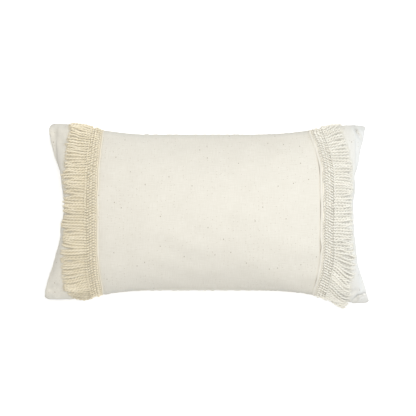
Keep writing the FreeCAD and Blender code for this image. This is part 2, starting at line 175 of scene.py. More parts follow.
# ---------------------------------------------------------------- plan shape of the filled cover


def ease(t):
    """A smooth step from 0 to 1 over t = 0 to 1."""
    t = np.clip(t, 0, 1)
    return t * t * (3 - 2 * t)


def side_x(v, corner_low, corner_high, middle, deepest, power_low, power_high, soft_high):
    """Half length of the cover at v: widest at its corners and pulled in most at v = deepest.

    The powers say how late it widens towards each corner. soft_high mixes a smooth step into the upper one.
    """
    w = np.where(v > deepest, (v - deepest) / (1 - deepest), (deepest - v) / (1 + deepest))
    rise_high = (1 - soft_high) * w**power_high + soft_high * ease(w)
    high = middle + (corner_high - middle) * rise_high
    low = middle + (corner_low - middle) * w**power_low
    return np.where(v > deepest, high, low)


def side_y(u, middle, corner_left, corner_right, flare_left, flare_right):
    """Half width of the cover at u: even in the middle, flaring between two values of u to each corner."""
    left = ease((-u - flare_left[0]) / (flare_left[1] - flare_left[0]))
    right = ease((u - flare_right[0]) / (flare_right[1] - flare_right[0]))
    return middle + (corner_left - middle) * left + (corner_right - middle) * right


def plan(u, v):
    """The seam plane's point at (u, v)."""
    top = side_y(u, **TOP_SIDE)
    low = side_y(u, **LOW_SIDE)
    x = u * np.where(u < 0, side_x(v, **LEFT_END), side_x(v, **RIGHT_END))
    return x, (top - low) / 2 + v * (top + low) / 2


# ---------------------------------------------------------------- cloth simulation

KEPT_SPEED = 0.92  # share of its speed that the cloth keeps from step to step
PULL_ROUNDS = 14
PRESSED = 0.2  # how strongly the threads resist being pressed, against 1 for being pulled
SLANTED = 0.05  # how strongly the weave resists slanting


def unit(a):
    return a / (np.linalg.norm(a, axis=-1, keepdims=True) + 1e-12)


def normals(p):
    """Unit normals of a grid of points."""
    return unit(np.cross(np.gradient(p, axis=0), np.gradient(p, axis=1)))


def pull(a, b, rest, slack):
    """Move two sets of joined points towards their rest distance, in place, by a share slack if pressed."""
    d = b - a
    length = np.linalg.norm(d, axis=-1, keepdims=True) + 1e-12
    stretch = (length - rest) / length
    move = d * stretch * np.where(stretch > 0, 0.5, 0.5 * slack)
    a += move
    b -= move


def relax(p, side, steps, pressure, bend):
    """Blow up one panel from its flat size, with its seam held and the ground under it."""
    nu, nv = p.shape[:2]
    along, across = 2 * FLAT_X / (nu - 1), 2 * FLAT_Y / (nv - 1)
    slant = math.hypot(along, across)
    held = p.copy()
    before = p.copy()
    free = np.zeros((nu, nv, 1))
    free[1:-1, 1:-1] = 1
    for _ in range(steps):
        speed = (p - before) * KEPT_SPEED
        before = p.copy()
        p = p + (speed + normals(p) * side * pressure) * free
        for _ in range(PULL_ROUNDS):
            for q, rest in ((p, along), (p.transpose(1, 0, 2), across)):
                for start in (0, 1):
                    n = (q.shape[0] - start) // 2
                    pull(q[start : start + 2 * n : 2], q[start + 1 : start + 2 * n : 2], rest, PRESSED)
            for a, b in (((0, 0), (1, 1)), ((0, 1), (1, 0))):
                first = (slice(a[0], nu - 1 + a[0]), slice(a[1], nv - 1 + a[1]))
                second = (slice(b[0], nu - 1 + b[0]), slice(b[1], nv - 1 + b[1]))
                d = p[second] - p[first]
                length = np.linalg.norm(d, axis=-1, keepdims=True) + 1e-12
                move = d * (length - slant) / length * SLANTED
                change = np.zeros_like(p)
                change[first] += move
                change[second] -= move
                p += change
            p = np.where(free > 0, p, held)
        middle = (p[2:, 1:-1] + p[:-2, 1:-1] + p[1:-1, 2:] + p[1:-1, :-2]) / 4
        p[1:-1, 1:-1] += bend * (middle - p[1:-1, 1:-1])
        p[..., 2] = np.maximum(p[..., 2], -SEAM_Z)
    return p


def finer(p, axis):
    """The grid with a cubic midpoint added between neighbours along an axis."""
    p = np.moveaxis(p, axis, 0)
    ends = np.concatenate([2 * p[:1] - p[1:2], p, 2 * p[-1:] - p[-2:-1]])
    out = np.zeros((2 * len(p) - 1,) + p.shape[1:])
    out[::2] = p
    out[1::2] = (-ends[:-3] + 9 * ends[1:-2] + 9 * ends[2:-1] - ends[3:]) / 16
    return np.moveaxis(out, 0, axis)


def filled_panel(side):
    """The simulated panel on the front (side 1) or back (side -1), about the seam plane."""
    u, v = np.meshgrid(*(np.linspace(-1, 1, count) for count in COARSE_GRID), indexing="ij")
    x, y = plan(u, v)
    p = np.stack([x, y, side * START_HIGH * (1 - u**4) * (1 - v**2)], -1)
    p = relax(p, side, steps=300, pressure=0.1 * MM, bend=0.05)
    p = finer(finer(p, 0), 1)
    u, v = np.meshgrid(np.linspace(-1, 1, p.shape[0]), np.linspace(-1, 1, p.shape[1]), indexing="ij")
    x, y = plan(u, v)
    seam = (np.abs(u) > 0.9999) | (np.abs(v) > 0.9999)
    p[seam] = np.stack([x, y, 0 * x], -1)[seam]
    p = relax(p, side, steps=150, pressure=0.03 * MM, bend=0.03)

    # Even out the solver's ripples: along the middle, and in height towards the ends.
    plain = 0.5 * ease((0.76 - np.abs(u[1:-1])) / 0.12)[..., None]
    for _ in range(14):
        between = (p[2:] + p[:-2]) / 2
        p[1:-1] += plain * (between - p[1:-1])
    near_ends = 0.5 * ease((np.abs(u[1:-1, 1:-1]) - 0.7) / 0.12)
    for _ in range(5):
        around = (p[2:, 1:-1] + p[:-2, 1:-1] + p[1:-1, 2:] + p[1:-1, :-2]) / 4
        p[1:-1, 1:-1, 2] += near_ends * (around - p[1:-1, 1:-1])[..., 2]
    return p


def cubic(grid, at, axis):
    """Catmull-Rom values of a grid along an axis, at positions from -1 to 1."""
    n = grid.shape[axis]
    grid = np.moveaxis(grid, axis, 0)
    ends = np.concatenate([2 * grid[:1] - grid[1:2], grid, 2 * grid[-1:] - grid[-2:-1]])
    place = (np.clip(at, -1, 1) + 1) / 2 * (n - 1)
    i = np.minimum(place.astype(int), n - 2)
    t = (place - i).reshape((-1,) + (1,) * (grid.ndim - 1))
    a, b, c, d = (ends[i + k] for k in range(4))
    out = b + 0.5 * t * (c - a + t * (2 * a - 5 * b + 4 * c - d + t * (3 * (b - c) + d - a)))
    return np.moveaxis(out, 0, axis)


def graded(step, half, fine):
    """Positions from -1 to 1, step apart in the middle and fine apart beside the seams."""
    t = np.linspace(-1, 1, int(2 * half / step))
    share = fine / step
    return share * t + (1 - share) * np.sin(t * math.pi / 2)


def denser(t, low, high, count):
    """The positions, with count evenly spaced ones in place of those from low to high on both sides."""
    inserted = np.linspace(low, high, count)
    return np.sort(np.concatenate([t[(np.abs(t) < low) | (np.abs(t) > high)], inserted, -inserted]))


def smooth_noise(u, v, scale, seed):
    """A repeatable smooth field of about unit size, made of waves about as long as scale."""
    dice = np.random.default_rng(seed)
    out = np.zeros_like(u * v)
    for _ in range(WAVES):
        turn = dice.uniform(0, 2 * math.pi)
        size = scale * dice.uniform(0.7, 1.6)
        phase = dice.uniform(0, 2 * math.pi)
        ahead = u * FLAT_X * math.cos(turn) + v * FLAT_Y * math.sin(turn)
        out += np.cos(2 * math.pi * ahead / size + phase)
    return out * math.sqrt(2 / WAVES)


def trim_edge(side, v):
    """Share of the half length at which a trim starts, at v."""
    low, high = TRIM_CURL[side]
    curl_low = ease((-v - CURL_FROM) / (1 - CURL_FROM))
    curl_high = ease((v - CURL_FROM) / (1 - CURL_FROM))
    return TRIM_EDGE[side] - low * curl_low - high * curl_high


def valley(x, y, start, end, width):
    """1 along a line in the plan and 0 away from it, fading towards the line's ends."""
    a, b = np.array(start), np.array(end)
    d = b - a
    t = ((x - a[0]) * d[0] + (y - a[1]) * d[1]) / (d @ d)
    off = np.hypot(x - a[0] - t * d[0], y - a[1] - t * d[1])
    return np.exp(-((off / width) ** 2)) * np.exp(-(((t - 0.5) / 0.45) ** 4))


def tip_droop(x, y):
    """How far the folded-over tip of the upper right corner hangs below the seam plane."""
    past = (x - FOLD_AT[0]) * FOLD_ACROSS[0] + (y - FOLD_AT[1]) * FOLD_ACROSS[1]
    down = FOLD_SLOPE * (past + np.sqrt(past * past + FOLD_SOFT**2))
    return np.minimum(down, FOLD_DEEPEST) * (past > -FOLD_BEFORE)


def bunch_corners(p, from_end, from_side):
    """Smooth a panel where two seams meet and the cloth inside is bunched."""
    near = ease((CORNER_BUNCH - np.maximum(from_end, from_side)) / (CORNER_BUNCH / 2))[..., None]
    for _ in range(24):
        q = p.copy()
        q[1:-1, 1:-1] = (p[2:, 1:-1] + p[:-2, 1:-1] + p[1:-1, 2:] + p[1:-1, :-2]) / 4
        for k, inner in ((0, 1), (-1, -2)):
            q[k, 1:-1] = (p[k, 2:] + p[k, :-2]) / 2
            q[1:-1, k] = (p[2:, k] + p[:-2, k]) / 2
            for m, beside in ((0, 1), (-1, -2)):
                q[k, m] = (p[k, beside] + p[inner, m]) / 2
        p = p + near * (q - p)
    return p


def soft_details(p, u, v, side):
    """Add what the simulation is too coarse for to a dense grid of a panel."""
    from_end = (1 - np.abs(u)) * FLAT_X
    from_side = (1 - np.abs(v)) * FLAT_Y
    edge = np.minimum(from_end, from_side)
    n = normals(p) * side
    n = np.where(edge[..., None] < 1 * MM, unit(n + np.array([0, 0, side * 0.6])), n)

    # The roll beside the seam with its puckers, a slow unevenness, and the grooves beside the trims.
    lift = ROLL_HIGH * edge / SEAM_ROLL * np.exp(1 - edge / SEAM_ROLL)
    seam_wave = smooth_noise(u, v, 14 * MM, 3 if side > 0 else 4)
    lift += 0.55 * MM * seam_wave * np.exp(-edge / (7 * MM)) * ease(edge / (2 * MM))
    lift += 0.5 * MM * smooth_noise(u, v, 60 * MM, 5 if side > 0 else 6) * ease(edge / (20 * MM))
    if side > 0:
        for end, depth in GROOVE_DEPTH.items():
            beside = (np.abs(u) - trim_edge(end, v)) * FLAT_X + GROOVE_BEFORE
            lift -= depth * (np.sign(u) == end) * np.exp(-((beside / GROOVE_WIDTH) ** 2))
            lift -= HOLLOW_DEPTH * (np.sign(u) == end) * np.exp(-((beside / HOLLOW_WIDTH) ** 2))
    p = p + n * lift[..., None]

    # The sunk seam and the rounded corners.
    inwards = SEAM_INSET * np.exp(-((edge / (1.2 * MM)) ** 2))
    p[..., 0] -= np.sign(u) * inwards * (from_end <= from_side)
    p[..., 1] -= np.sign(v) * inwards * (from_side <= from_end)
    a = np.clip(1 - from_end / CORNER_ROUND, 0, 1)
    b = np.clip(1 - from_side / CORNER_ROUND, 0, 1)
    p[..., 0] -= np.sign(u) * CORNER_ROUND * a * (1 - np.sqrt(1 - b * b / 2))
    p[..., 1] -= np.sign(v) * CORNER_ROUND * b * (1 - np.sqrt(1 - a * a / 2))

    # The zipper's opening, the bunched corners, the creases and the folded-over tip.
    past_start = u * FLAT_X - SLOT_ENDS[0]
    before_end = SLOT_ENDS[1] - u * FLAT_X
    slot = (v < 0) * ease(past_start / SLOT_FADE) * ease(before_end / SLOT_FADE)
    p[..., 2] += side * SLOT_LIFT * slot * np.exp(-((from_side / SLOT_DEEP) ** 2))
    p = bunch_corners(p, from_end, from_side)
    if side > 0:
        for start, end, width, depth in CREASES:
            line = valley(p[..., 0], p[..., 1], np.array(start) * MM, np.array(end) * MM, width * MM)
            p[..., 2] -= depth * MM * line * ease(edge / (4 * MM))
    p[..., 2] -= tip_droop(p[..., 0], p[..., 1])
    p[..., 2] = np.maximum(p[..., 2], -SEAM_Z + 0.02 * MM)
    return p


# Which way the front faces where a trim hangs over its long seams.
OVER_Y = 0.69
OVER_Z = 0.72


class Panel:
    """A dense grid of a filled panel that other pieces can be laid on."""

    def __init__(self, side):
        rough = filled_panel(side)
        self.u = denser(graded(SAMPLE_X, FLAT_X, SAMPLE_SEAM), *DENSE_SPAN, DENSE_COUNT)
        self.v = graded(SAMPLE_Y, FLAT_Y, SAMPLE_SEAM)
        u, v = np.meshgrid(self.u, self.v, indexing="ij")
        p = cubic(cubic(rough, self.u, 0), self.v, 1)
        self.points = soft_details(p, u, v, side)
        self.points[..., 2] += SEAM_Z
        self.normals = normals(self.points) * side
        self.side = side

    def at(self, u, v, lift):
        """Points above the panel. Past the -Y or +Y seam they carry on outwards and down."""
        u, v, lift = np.broadcast_arrays(np.asarray(u, float), np.asarray(v, float), np.asarray(lift, float))
        i = np.clip(np.interp(u, self.u, np.arange(len(self.u))), 0, len(self.u) - 1.001)
        j = np.clip(np.interp(v, self.v, np.arange(len(self.v))), 0, len(self.v) - 1.001)
        i0, j0 = i.astype(int), j.astype(int)
        fi, fj = (i - i0)[..., None], (j - j0)[..., None]
        out = []
        for grid in (self.points, self.normals):
            near = grid[i0, j0] * (1 - fj) + grid[i0, j0 + 1] * fj
            far = grid[i0 + 1, j0] * (1 - fj) + grid[i0 + 1, j0 + 1] * fj
            out.append(near * (1 - fi) + far * fi)
        past = (np.maximum(np.abs(v) - 1, 0) * FLAT_Y)[..., None]
        over = ease((np.abs(v) - 0.93) / 0.07)[..., None]
        outwards = np.stack([0 * v, np.sign(v) * OVER_Y, 0 * v + OVER_Z], -1)
        away = np.stack([0 * v, np.sign(v) * OVER_Z, 0 * v - OVER_Y], -1)
        up = unit(unit(out[1]) * (1 - over) + outwards * over)
        return out[0] + up * lift[..., None] + away * past, up


# ---------------------------------------------------------------- meshes

YARN_ROUND = 4 * MM  # how far round a yarn is, in its cloth coordinates


def new_mesh(name, points, faces, uv=None):
    mesh = bpy.data.meshes.new(name)
    mesh.from_pydata(np.asarray(points).reshape(-1, 3).tolist(), [], faces)
    mesh.polygons.foreach_set("use_smooth", [True] * len(mesh.polygons))
    if uv is not None:
        loops = np.zeros(len(mesh.loops), int)
        mesh.loops.foreach_get("vertex_index", loops)
        layer = mesh.uv_layers.new(name="cloth")
        layer.data.foreach_set("uv", np.asarray(uv).reshape(-1, 2)[loops].ravel())
    mesh.update()
    piece = bpy.data.objects.new(name, mesh)
    bpy.context.scene.collection.objects.link(piece)
    return piece


def grid_faces(n, m, start, flip):
    i, j = np.meshgrid(np.arange(n - 1), np.arange(m - 1), indexing="ij")
    a = start + i * m + j
    quads = np.stack([a, a + m, a + m + 1, a + 1], -1).reshape(-1, 4)
    return quads[:, ::-1] if flip else quads


def shell(name, upper, lower, uv):
    """A closed piece of cloth between two grids of points."""
    n, m = upper.shape[:2]
    size = n * m
    outward = np.sum(normals(upper) * (upper - lower)) > 0
    faces = [grid_faces(n, m, 0, not outward), grid_faces(n, m, size, outward)]
    index = np.arange(size).reshape(n, m)
    rim = np.concatenate([index[:, 0], index[-1, 1:], index[-2::-1, -1], index[0, -2:0:-1]])
    after = np.roll(rim, -1)
    walls = np.stack([rim, rim + size, after + size, after], -1)
    faces.append(walls if outward else walls[:, ::-1])
    return new_mesh(name, np.concatenate([upper.reshape(-1, 3), lower.reshape(-1, 3)]),
                    np.concatenate(faces).tolist(), np.concatenate([uv.reshape(-1, 2)] * 2))


class Yarns:
    """Collects round yarns into one mesh."""

    def __init__(self):
        self.points = []
        self.faces = []
        self.uv = []
        self.raised = []
        self.count = 0

    def add(self, path, up, radius, sides=7, raised=1.0):
        """A yarn along path, with up as a direction across it.

        radius and raised are one number or one for each point. raised is 0 where the yarn dips in among its
        neighbours and 1 on top; the yarn material paints shade on it where it is low.
        """
        path = np.asarray(path)
        n = len(path)
        radius = np.broadcast_to(np.asarray(radius, float), (n,))[:, None, None]
        ahead = unit(np.gradient(path, axis=0))
        across = unit(np.cross(ahead, np.broadcast_to(up, path.shape)))
        out = np.cross(across, ahead)
        angle = np.linspace(0, 2 * math.pi, sides, endpoint=False)[None, :, None]
        rings = path[:, None] + radius * (np.cos(angle) * across[:, None] + np.sin(angle) * out[:, None])
        i, j = np.meshgrid(np.arange(n - 1), np.arange(sides), indexing="ij")
        a = self.count + i * sides + j
        b = self.count + i * sides + (j + 1) % sides
        self.faces += np.stack([a, b, b + sides, a + sides], -1).reshape(-1, 4).tolist()
        self.faces.append(list(range(self.count + sides - 1, self.count - 1, -1)))
        self.faces.append(list(range(self.count + (n - 1) * sides, self.count + n * sides)))
        self.points.append(rings.reshape(-1, 3))
        self.raised.append(np.repeat(np.broadcast_to(np.asarray(raised, float), (n,)), sides))
        length = np.concatenate([[0], np.cumsum(np.linalg.norm(np.diff(path, axis=0), axis=-1))])
        around = np.linspace(0, 1, sides, endpoint=False)
        cloth = np.broadcast_arrays(length[:, None], around[None, :] * YARN_ROUND)
        self.uv.append(np.stack(cloth, -1).reshape(-1, 2))
        self.count += n * sides

    def make(self, name):
        piece = new_mesh(name, np.concatenate(self.points), self.faces, np.concatenate(self.uv))
        layer = piece.data.attributes.new("raised", "FLOAT", "POINT")
        layer.data.foreach_set("value", np.concatenate(self.raised))
        return piece


def stitch_row(yarns, line, up, length, gap, radius):
    """Short stitches along a line of points, each bulging up and dipping into the cloth at its ends."""
    steps = np.concatenate([[0], np.cumsum(np.linalg.norm(np.diff(line, axis=0), axis=-1))])
    for start in np.arange(0, steps[-1] - length, length + gap):
        s = np.linspace(start, start + length, 7)
        path = np.stack([np.interp(s, steps, line[:, k]) for k in range(3)], -1)
        out = np.stack([np.interp(s, steps, up[:, k]) for k in range(3)], -1)
        rise = np.sin(np.linspace(0, math.pi, 7))[:, None]
        yarns.add(path + out * radius * (2.2 * rise - 1.2), out, radius, 6)


# ---------------------------------------------------------------- materials

# Places on the cover's cloth between which painted shade fades in, and its colours: cool over the right end,
# darker by the long seams.
COOL_SHADE_END = (235 * MM, 285 * MM)
COOL_SHADE_COLOR = (0.80, 0.805, 0.795)
SHADED_RIM = (154 * MM, 170 * MM)
RIM_SHADE_COLOR = (0.63, 0.62, 0.575)

# Bits of seed husk: size of the cell that may hold one, how it is squeezed along and across, the share of
# cells that hold one where they are most, its radius in the cell, its colour and its strength.
HUSKS = (
    (14 * MM, (1.0, 0.7), 0.14, 0.07, (0.34, 0.28, 0.20), 0.85),
    (6 * MM, (0.8, 1.0), 0.4, 0.13, (0.52, 0.46, 0.37), 0.6),
)
THREAD_PITCH = 0.62 * MM


def material(name, color, roughness):
    made = bpy.data.materials.new(name)
    made.use_nodes = True
    shader = made.node_tree.nodes["Principled BSDF"]
    shader.inputs["Base Color"].default_value = (*color, 1)
    shader.inputs["Roughness"].default_value = roughness
    return made, made.node_tree.nodes, made.node_tree.links, shader


def node(nodes, kind, **settings):
    made = nodes.new(kind)
    for name, value in settings.items():
        if name in made.inputs:
            made.inputs[name].default_value = value
        else:
            setattr(made, name, value)
    return made


def math_node(nodes, links, operation, a, b=None):
    made = nodes.new("ShaderNodeMath")
    made.operation = operation
    for k, value in enumerate((a, b)):
        if value is None:
            continue
        if isinstance(value, (int, float)):
            made.inputs[k].default_value = value
        else:
            links.new(value, made.inputs[k])
    return made.outputs[0]


def stretched(nodes, links, source, scale):
    """Texture coordinates multiplied by scale."""
    made = nodes.new("ShaderNodeMapping")
    made.inputs["Scale"].default_value = scale
    links.new(source, made.inputs["Vector"])
    return made.outputs[0]


def noise(nodes, links, vector, detail=2.0):
    made = nodes.new("ShaderNodeTexNoise")
    made.inputs["Scale"].default_value = 1.0
    made.inputs["Detail"].default_value = detail
    links.new(vector, made.inputs["Vector"])
    return made.outputs["Fac"]


def mixed(nodes, links, factor, a, b):
    made = nodes.new("ShaderNodeMix")
    made.data_type = "RGBA"
    links.new(factor, made.inputs["Factor"])
    for socket, value in ((6, a), (7, b)):
        if isinstance(value, tuple):
            made.inputs[socket].default_value = (*value, 1)
        else:
            links.new(value, made.inputs[socket])
    return made.outputs[2]


def ranged(nodes, links, value, low, high, to_low=0.0, to_high=1.0):
    made = nodes.new("ShaderNodeMapRange")
    for k, number in enumerate((low, high, to_low, to_high)):
        made.inputs[k + 1].default_value = number
    links.new(value, made.inputs[0])
    return made.outputs[0]


def weave(nodes, links, uv, pitch, wander):
    """A plain weave's height, from waves of threads both ways that wander by the values given."""
    apart = nodes.new("ShaderNodeSeparateXYZ")
    links.new(uv, apart.inputs[0])
    waves = []
    for axis in (0, 1):
        turned = math_node(nodes, links, "MULTIPLY", apart.outputs[axis], 2 * math.pi / pitch)
        moved = math_node(nodes, links, "MULTIPLY", wander[axis], 9.0)
        waves.append(math_node(nodes, links, "SINE", math_node(nodes, links, "ADD", turned, moved)))
    return math_node(nodes, links, "MULTIPLY", waves[0], waves[1])


def cover_tone(nodes, links, uv, tone):
    """The cover's colour: painted cool shade over the right end, painted shade along the rim by the long
    seams and bits of seed husk.
    """
    apart = nodes.new("ShaderNodeSeparateXYZ")
    links.new(uv, apart.inputs[0])
    # Painted cool shade fades in over the right end.
    end = ranged(nodes, links, apart.outputs[0], *COOL_SHADE_END, 0.0, 0.8)
    tone = mixed(nodes, links, end, tone, COOL_SHADE_COLOR)
    # Painted shade darkens the rim beside the long seams.
    from_middle = math_node(nodes, links, "ABSOLUTE", apart.outputs[1])
    rim = ranged(nodes, links, from_middle, *SHADED_RIM, 0.0, 0.7)
    tone = mixed(nodes, links, rim, tone, RIM_SHADE_COLOR)
    for size, spread, keep, radius, dark, strength in HUSKS:
        cells = nodes.new("ShaderNodeTexVoronoi")
        cells.voronoi_dimensions = "2D"
        cells.inputs["Scale"].default_value = 1.0
        squeezed = stretched(nodes, links, uv, (spread[0] / size, spread[1] / size, 1))
        links.new(squeezed, cells.inputs["Vector"])
        picked = nodes.new("ShaderNodeSeparateColor")
        links.new(cells.outputs["Color"], picked.inputs[0])
        near = ranged(nodes, links, cells.outputs["Distance"], radius * 0.5, radius, 1.0, 0.0)
        crowd = noise(nodes, links, stretched(nodes, links, uv, (14, 14, 1)))
        share = ranged(nodes, links, crowd, 0.38, 0.62, 0.02, keep)
        chosen = math_node(nodes, links, "LESS_THAN", picked.outputs[0], share)
        factor = math_node(nodes, links, "MULTIPLY", near, chosen)
        factor = math_node(nodes, links, "MULTIPLY", factor, strength)
        tone = mixed(nodes, links, factor, tone, dark)
    return tone


def cloth_material(name, color, shade, husks_and_painted_shade=False, unrolled=True):
    """Woven cotton with slubs, and for the cover also its seed husks and its painted shade, over the right
    end and along the long seams.

    An unrolled piece has flat cloth coordinates; another one uses its own place.
    """
    made, nodes, links, shader = material(name, color, 0.92)
    shader.inputs["Sheen Weight"].default_value = 0.04
    shader.inputs["Sheen Roughness"].default_value = 0.6
    shader.inputs["Specular IOR Level"].default_value = 0.15
    if unrolled:
        uv = node(nodes, "ShaderNodeUVMap", uv_map="cloth").outputs[0]
    else:
        uv = node(nodes, "ShaderNodeTexCoord").outputs["Object"]
    slub_x = noise(nodes, links, stretched(nodes, links, uv, (55, 900, 1)))
    slub_y = noise(nodes, links, stretched(nodes, links, uv, (900, 55, 1)))
    slubs = math_node(nodes, links, "ADD", slub_x, slub_y)
    cloud = noise(nodes, links, stretched(nodes, links, uv, (30, 30, 1)), 4.0)
    tone = mixed(nodes, links, ranged(nodes, links, slubs, 0.7, 1.3), shade, color)
    tone = mixed(nodes, links, ranged(nodes, links, cloud, 0.35, 0.7, 0.0, 0.3), tone, shade)
    # The cover's seed husks and its painted shade.
    if husks_and_painted_shade:
        tone = cover_tone(nodes, links, uv, tone)
    links.new(tone, shader.inputs["Base Color"])
    threads = weave(nodes, links, uv, THREAD_PITCH, (slub_x, slub_y))
    height = math_node(nodes, links, "ADD", math_node(nodes, links, "MULTIPLY", threads, 0.3), slubs)
    bump = node(nodes, "ShaderNodeBump", Strength=0.4, Distance=0.35 * MM)
    links.new(height, bump.inputs["Height"])
    links.new(bump.outputs[0], shader.inputs["Normal"])
    return made


def yarn_material(name, color, shade, depth=0.52):
    """Soft spun yarn, with painted shade where it dips in among its neighbours. depth is the share of its
    shade colour that is left there.
    """
    made, nodes, links, shader = material(name, color, 0.95)
    shader.inputs["Sheen Weight"].default_value = 0.1
    shader.inputs["Sheen Roughness"].default_value = 0.5
    shader.inputs["Specular IOR Level"].default_value = 0.15
    place = node(nodes, "ShaderNodeTexCoord").outputs["Object"]
    uv = node(nodes, "ShaderNodeUVMap", uv_map="cloth").outputs[0]
    patches = noise(nodes, links, stretched(nodes, links, place, (90, 90, 90)), 3.0)
    fibres = noise(nodes, links, stretched(nodes, links, uv, (700, 2600, 1)), 3.0)
    tone = mixed(nodes, links, ranged(nodes, links, patches, 0.3, 0.7), shade, color)
    tone = mixed(nodes, links, ranged(nodes, links, fibres, 0.35, 0.7, 0.0, 0.35), tone, shade)
    # Painted shade: the tone falls to depth times the shade colour where raised is low, in the dips among
    # neighbouring yarns.
    deep = tuple(depth * c for c in shade)
    raised = node(nodes, "ShaderNodeAttribute", attribute_name="raised").outputs["Fac"]
    tone = mixed(nodes, links, ranged(nodes, links, raised, 0.0, 0.5), deep, tone)
    links.new(tone, shader.inputs["Base Color"])
    bump = node(nodes, "ShaderNodeBump", Strength=0.5, Distance=0.2 * MM)
    links.new(fibres, bump.inputs["Height"])
    links.new(bump.outputs[0], shader.inputs["Normal"])
    return made


def hard_material(name, color, roughness, metallic, grain):
    """Moulded or painted zipper parts with a fine uneven surface."""
    made, nodes, links, shader = material(name, color, roughness)
    shader.inputs["Metallic"].default_value = metallic
    place = node(nodes, "ShaderNodeTexCoord").outputs["Object"]
    uneven = noise(nodes, links, stretched(nodes, links, place, (grain, grain, grain)), 4.0)
    worn = tuple(0.8 * c for c in color)
    tone = mixed(nodes, links, ranged(nodes, links, uneven, 0.3, 0.75), color, worn)
    links.new(tone, shader.inputs["Base Color"])
    rough = ranged(nodes, links, uneven, 0.2, 0.8, roughness - 0.08, roughness + 0.1)
    links.new(rough, shader.inputs["Roughness"])
    bump = node(nodes, "ShaderNodeBump", Strength=0.15, Distance=0.05 * MM)
    links.new(uneven, bump.inputs["Height"])
    links.new(bump.outputs[0], shader.inputs["Normal"])
    return made


COVER = cloth_material("cover_cotton", (0.86, 0.832, 0.756), (0.78, 0.747, 0.664), husks_and_painted_shade=True)
TICKING = cloth_material("ticking_cotton", (0.84, 0.84, 0.82), (0.78, 0.78, 0.76))
# The left trim's tape and yarn are darker and yellower than the right's: painted warm shade over the left
# trim.
TAPE_CLOTH = {
    -1: cloth_material("trim_tape_left", (0.88, 0.83, 0.71), (0.82, 0.76, 0.63)),
    1: cloth_material("trim_tape_right", (0.90, 0.875, 0.80), (0.85, 0.82, 0.74)),
}
YARN = {
    -1: yarn_material("trim_yarn_left", (0.94, 0.87, 0.71), (0.86, 0.78, 0.60), depth=0.62),
    1: yarn_material("trim_yarn_right", (0.94, 0.92, 0.85), (0.88, 0.85, 0.765), depth=0.66),
}
THREAD = yarn_material("sewing_thread", (0.82, 0.78, 0.68), (0.72, 0.67, 0.56))
# The filling has no raised attribute, so the yarn material's painted shade darkens all of it.
FIBRE = yarn_material("polyester_fibre", (0.88, 0.88, 0.87), (0.80, 0.80, 0.80))
ZIP_CLOTH = cloth_material("zipper_tape_cloth", (0.80, 0.77, 0.68), (0.72, 0.68, 0.58), unrolled=False)
NYLON = hard_material("nylon_coil", (0.80, 0.77, 0.67), roughness=0.4, metallic=0.0, grain=900)
ENAMEL = hard_material("enamelled_metal", (0.74, 0.72, 0.64), roughness=0.35, metallic=0.35, grain=500)


def finish_piece(piece, look, slot, *nodes):
    """Give a piece its material and body and hide the CAD nodes that it stands for. slot is not used."""
    piece.data.materials.append(look)
    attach(piece, "pillow_body")
    if nodes:
        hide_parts(*nodes)
    return piece


# ---------------------------------------------------------------- cover and insert


def with_allowance(panel):
    """A panel's points and cloth coordinates, carried on inwards past the seam by the seam allowance.

    The allowance is trimmed to almost nothing at the corners.
    """
    extra = np.array(ALLOWANCE)
    n, m = panel.points.shape[:2]
    k = len(extra)
    i = np.clip(np.arange(n + 2 * k) - k, 0, n - 1)
    j = np.clip(np.arange(m + 2 * k) - k, 0, m - 1)
    p = panel.points[np.ix_(i, j)].copy()
    u, v = np.meshgrid(panel.u[i], panel.v[j], indexing="ij")
    kept_x = 0.1 + 0.9 * ease((1 - np.abs(v)) * FLAT_Y / (2 * CORNER_BUNCH))
    kept_y = 0.1 + 0.9 * ease((1 - np.abs(u)) * FLAT_X / (2 * CORNER_BUNCH))
    into_x = np.sign(u) * kept_x * np.concatenate([extra[::-1], np.zeros(n), extra])[:, None]
    into_y = np.sign(v) * kept_y * np.concatenate([extra[::-1], np.zeros(m), extra])[None, :]
    p[..., 2] += tip_droop(p[..., 0], p[..., 1])
    p[..., 0] -= into_x
    p[..., 1] -= into_y
    p[..., 2] -= tip_droop(p[..., 0], p[..., 1])
    p[..., 2] += panel.side * 0.15 * MM * ((into_x != 0) | (into_y != 0))
    cloth = np.stack([u * FLAT_X + into_x, v * FLAT_Y + into_y], -1)
    return p, cloth


def make_cover(panel, name, cad):
    outer, cloth = with_allowance(panel)
    n, m = panel.points.shape[:2]
    k = len(ALLOWANCE)
    inner_n = normals(outer) * panel.side
    inner_n[k : n + k, k : m + k] = panel.normals
    turned = np.zeros(outer.shape[:2], bool)
    turned[:k] = turned[-k:] = True
    turned[:, :k] = turned[:, -k:] = True
    inner_n[turned] = (0, 0, -panel.side)
    inner = outer - inner_n * CLOTH_THICK
    piece = finish_piece(shell(name, outer, inner, cloth), COVER, "cover_fabric", cad)
    return piece


def shrunk(panel, inset, depth):
    """A panel's shape made smaller, for what lies inside the cover, and its cloth coordinates."""
    p = panel.points[::COARSER, ::COARSER].copy()
    p[..., 0] *= 1 - inset / NARROW_X
    p[..., 1] *= 1 - inset / NARROW_Y
    p[..., 2] = SEAM_Z + panel.side * INNER_GAP + (p[..., 2] - SEAM_Z) * (1 - depth / PANEL_HIGH)
    u, v = np.meshgrid(panel.u[::COARSER], panel.v[::COARSER], indexing="ij")
    return p, np.stack([u * FLAT_X, v * FLAT_Y], -1)


def make_ticking(panel, name, cad):
    outer, cloth = shrunk(panel, INSERT_INSET, INSERT_DEPTH)
    inner, _ = shrunk(panel, INSERT_INSET + TICKING_THICK * 1.5, INSERT_DEPTH + TICKING_THICK)
    piece = finish_piece(shell(name, outer, inner, cloth), TICKING, "insert_ticking", cad)
    return piece


